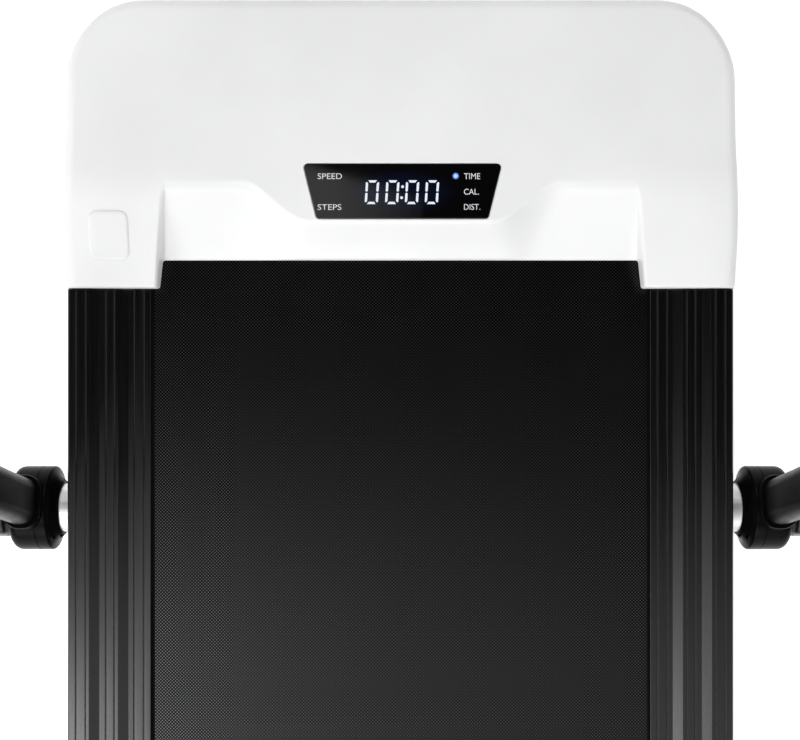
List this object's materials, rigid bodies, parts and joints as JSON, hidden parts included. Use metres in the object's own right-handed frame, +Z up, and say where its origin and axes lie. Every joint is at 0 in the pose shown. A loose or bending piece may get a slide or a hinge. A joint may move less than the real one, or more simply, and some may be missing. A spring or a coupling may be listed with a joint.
{
  "type": "folding treadmill",
  "caption": "Folding under-desk treadmill: low motor hood with a display, stepped foot rails beside a running belt, and a U-shaped handrail that folds down round the deck.",
  "frame": {"origin": "on the floor, under the middle of the treadmill with its handrail raised", "axes": "+Z up, +Y along the deck towards the motor hood, +X to the right of someone who stands on the belt and faces the hood"},
  "size_m": [0.6866, 1.245, 0.999],
  "materials": {
    "hood_white": "white, fine satin gloss",
    "rail_black": "black, semi-gloss, with fine grooves along it",
    "plastic_black": "black, satin",
    "paint_black": "black powder coat",
    "belt_black": "matt, fine diamond pattern",
    "rubber_black": "matt",
    "steel_polished": "polished",
    "zinc": "zinc plated",
    "aluminium": "as extruded",
    "deck_fibreboard": "sealed fibreboard",
    "display_lens": "glossy black, with lit digits behind it",
    "circuit_board": "green solder mask",
    "foam_black": "soft black foam"
  },
  "bodies": {
    "base": {"frame_tube_left": "paint_black", "frame_tube_right": "paint_black", "cross_member_front": "paint_black", "cross_member_middle": "paint_black", "cross_member_rear": "paint_black", "motor_tray": "paint_black", "deck_board": "deck_fibreboard", "deck_cushion_front_left": "rubber_black", "deck_cushion_front_right": "rubber_black", "deck_cushion_rear_left": "rubber_black", "deck_cushion_rear_right": "rubber_black", "running_belt": "belt_black", "front_axle": "zinc", "rear_axle": "zinc", "motor_body": "paint_black", "drive_belt": "rubber_black", "control_board": "circuit_board", "heat_sink": "aluminium", "hood_cover": "hood_white", "belly_pan": "plastic_black", "side_rail_left": "rail_black", "side_rail_right": "rail_black", "end_cap_left": "plastic_black", "end_cap_right": "plastic_black", "display_lens": "display_lens", "display_board": "circuit_board", "key_seat": "hood_white", "power_socket": "plastic_black", "switch_housing": "plastic_black", "breaker_housing": "plastic_black", "foot_front_left": "rubber_black", "foot_front_right": "rubber_black", "foot_rear_left": "rubber_black", "foot_rear_right": "rubber_black", "pivot_tube_left": "steel_polished", "pivot_tube_right": "steel_polished", "wheel_axle_left": "zinc", "wheel_axle_right": "zinc"},
    "handrail": {"handrail_tube": "paint_black", "hinge_hub_left": "plastic_black", "hinge_hub_right": "plastic_black", "grip_left": "foam_black", "grip_right": "foam_black", "device_holder": "plastic_black", "holder_clamp": "plastic_black"},
    "washer_left": {"knob_washer_left": "steel_polished"},
    "washer_right": {"knob_washer_right": "steel_polished"},
    "knob_left": {"lock_knob_left": "plastic_black"},
    "knob_right": {"lock_knob_right": "plastic_black"},
    "front_roller": {"front_roller": "zinc", "roller_pulley": "plastic_black"},
    "rear_roller": {"rear_roller": "zinc"},
    "motor_rotor": {"motor_shaft": "zinc", "motor_pulley": "zinc"},
    "bolt_left": {"tension_bolt_left": "zinc"},
    "bolt_right": {"tension_bolt_right": "zinc"},
    "wheel_left": {"wheel_left": "rubber_black"},
    "wheel_right": {"wheel_right": "rubber_black"},
    "rocker": {"power_rocker": "plastic_black"},
    "button": {"reset_button": "plastic_black"}
  },
  "joints": [
    {"name": "handrail_fold", "type": "hinge", "parent": "base", "child": "handrail", "pos_m": [0, 0.215, 0.06], "axis": [1, 0, 0], "range_deg": [0, 103.3]},
    {"name": "knob_slide_left", "type": "slide", "parent": "handrail", "child": "washer_left", "axis": [-1, 0, 0], "range_m": [0, 0.006]},
    {"name": "knob_slide_right", "type": "slide", "parent": "handrail", "child": "washer_right", "axis": [1, 0, 0], "range_m": [0, 0.006]},
    {"name": "knob_turn_left", "type": "hinge", "parent": "washer_left", "child": "knob_left", "pos_m": [-0.32, 0.215, 0.06], "axis": [-1, 0, 0], "range_deg": [0, 1441]},
    {"name": "knob_turn_right", "type": "hinge", "parent": "washer_right", "child": "knob_right", "pos_m": [0.32, 0.215, 0.06], "axis": [1, 0, 0], "range_deg": [0, 1441]},
    {"name": "front_roller_spin", "type": "hinge", "parent": "base", "child": "front_roller", "pos_m": [0, 0.455, 0.0701], "axis": [1, 0, 0], "continuous": true},
    {"name": "rear_roller_spin", "type": "hinge", "parent": "base", "child": "rear_roller", "pos_m": [0, -0.5925, 0.0701], "axis": [1, 0, 0], "continuous": true},
    {"name": "motor_spin", "type": "hinge", "parent": "base", "child": "motor_rotor", "pos_m": [-0.138, 0.545, 0.0724], "axis": [1, 0, 0], "continuous": true},
    {"name": "tension_bolt_left_turn", "type": "hinge", "parent": "base", "child": "bolt_left", "pos_m": [-0.241, -0.6105, 0.0701], "axis": [0, 1, 0], "continuous": true},
    {"name": "tension_bolt_right_turn", "type": "hinge", "parent": "base", "child": "bolt_right", "pos_m": [0.241, -0.6105, 0.0701], "axis": [0, 1, 0], "continuous": true},
    {"name": "wheel_left_spin", "type": "hinge", "parent": "base", "child": "wheel_left", "pos_m": [-0.1932, 0.596, 0.034], "axis": [1, 0, 0], "continuous": true},
    {"name": "wheel_right_spin", "type": "hinge", "parent": "base", "child": "wheel_right", "pos_m": [0.1932, 0.596, 0.034], "axis": [1, 0, 0], "continuous": true},
    {"name": "power_rocker_tip", "type": "hinge", "parent": "base", "child": "rocker", "pos_m": [-0.102, 0.6166, 0.062], "axis": [1, 0, 0], "range_deg": [0, 16]},
    {"name": "reset_button_push", "type": "slide", "parent": "base", "child": "button", "axis": [0, -1, 0], "range_m": [0, 0.003], "stiffness_N_per_m": 400}
  ],
  "couplings": [
    {"joint": "knob_turn_left", "follows": "knob_slide_left", "rad_per_m": 4188.8},
    {"joint": "knob_turn_right", "follows": "knob_slide_right", "rad_per_m": 4188.8},
    {"joint": "rear_roller_spin", "follows": "front_roller_spin", "ratio": 1},
    {"joint": "motor_spin", "follows": "front_roller_spin", "ratio": 2.6923}
  ]
}
